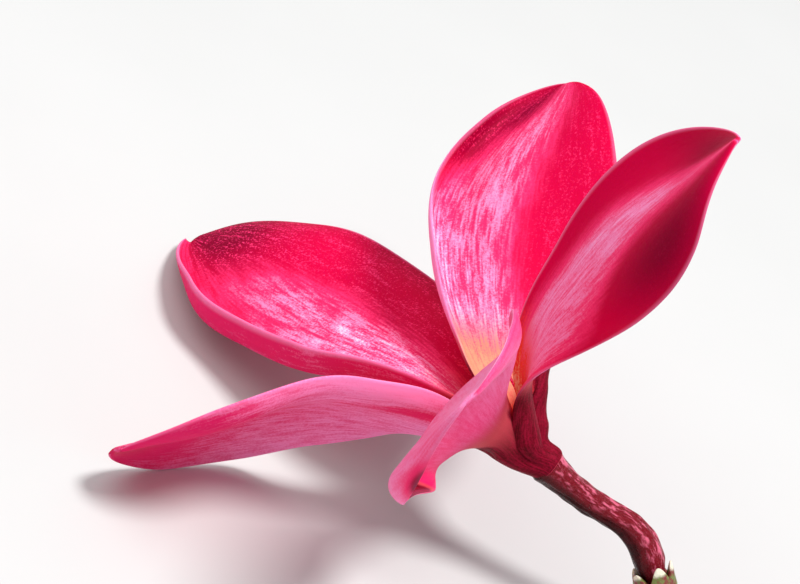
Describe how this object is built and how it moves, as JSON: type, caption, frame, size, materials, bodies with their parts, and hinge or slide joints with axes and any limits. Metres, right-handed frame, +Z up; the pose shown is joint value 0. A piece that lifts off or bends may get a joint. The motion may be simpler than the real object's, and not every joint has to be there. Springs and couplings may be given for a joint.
{
  "type": "frangipani flower",
  "caption": "Cut frangipani blossom lying on its side: overlapping crimson petals in a pinwheel on a bent dark red tube, with a small calyx and a short stalk.",
  "frame": {"origin": "middle of the flower's outline, on the surface that it lies on", "axes": "+Z up; the stalk and the face of the flower lie across X and Y as the flower rests on two petals and the end of its stalk"},
  "size_m": [0.069, 0.0764, 0.0587],
  "materials": {
    "petal": "soft velvety crimson-pink petal, streaked with paler pink",
    "tube": "glossy wrinkled dark maroon skin",
    "calyx": "olive green and dark red, with pale tips",
    "stalk": "dull green-brown stalk with a pale cut end"
  },
  "bodies": {
    "root": {"petal_1": "petal", "petal_2": "petal", "petal_3": "petal", "petal_4": "petal", "petal_5": "petal", "corolla_tube": "tube", "calyx": "calyx", "pedicel": "stalk"}
  },
  "joints": []
}
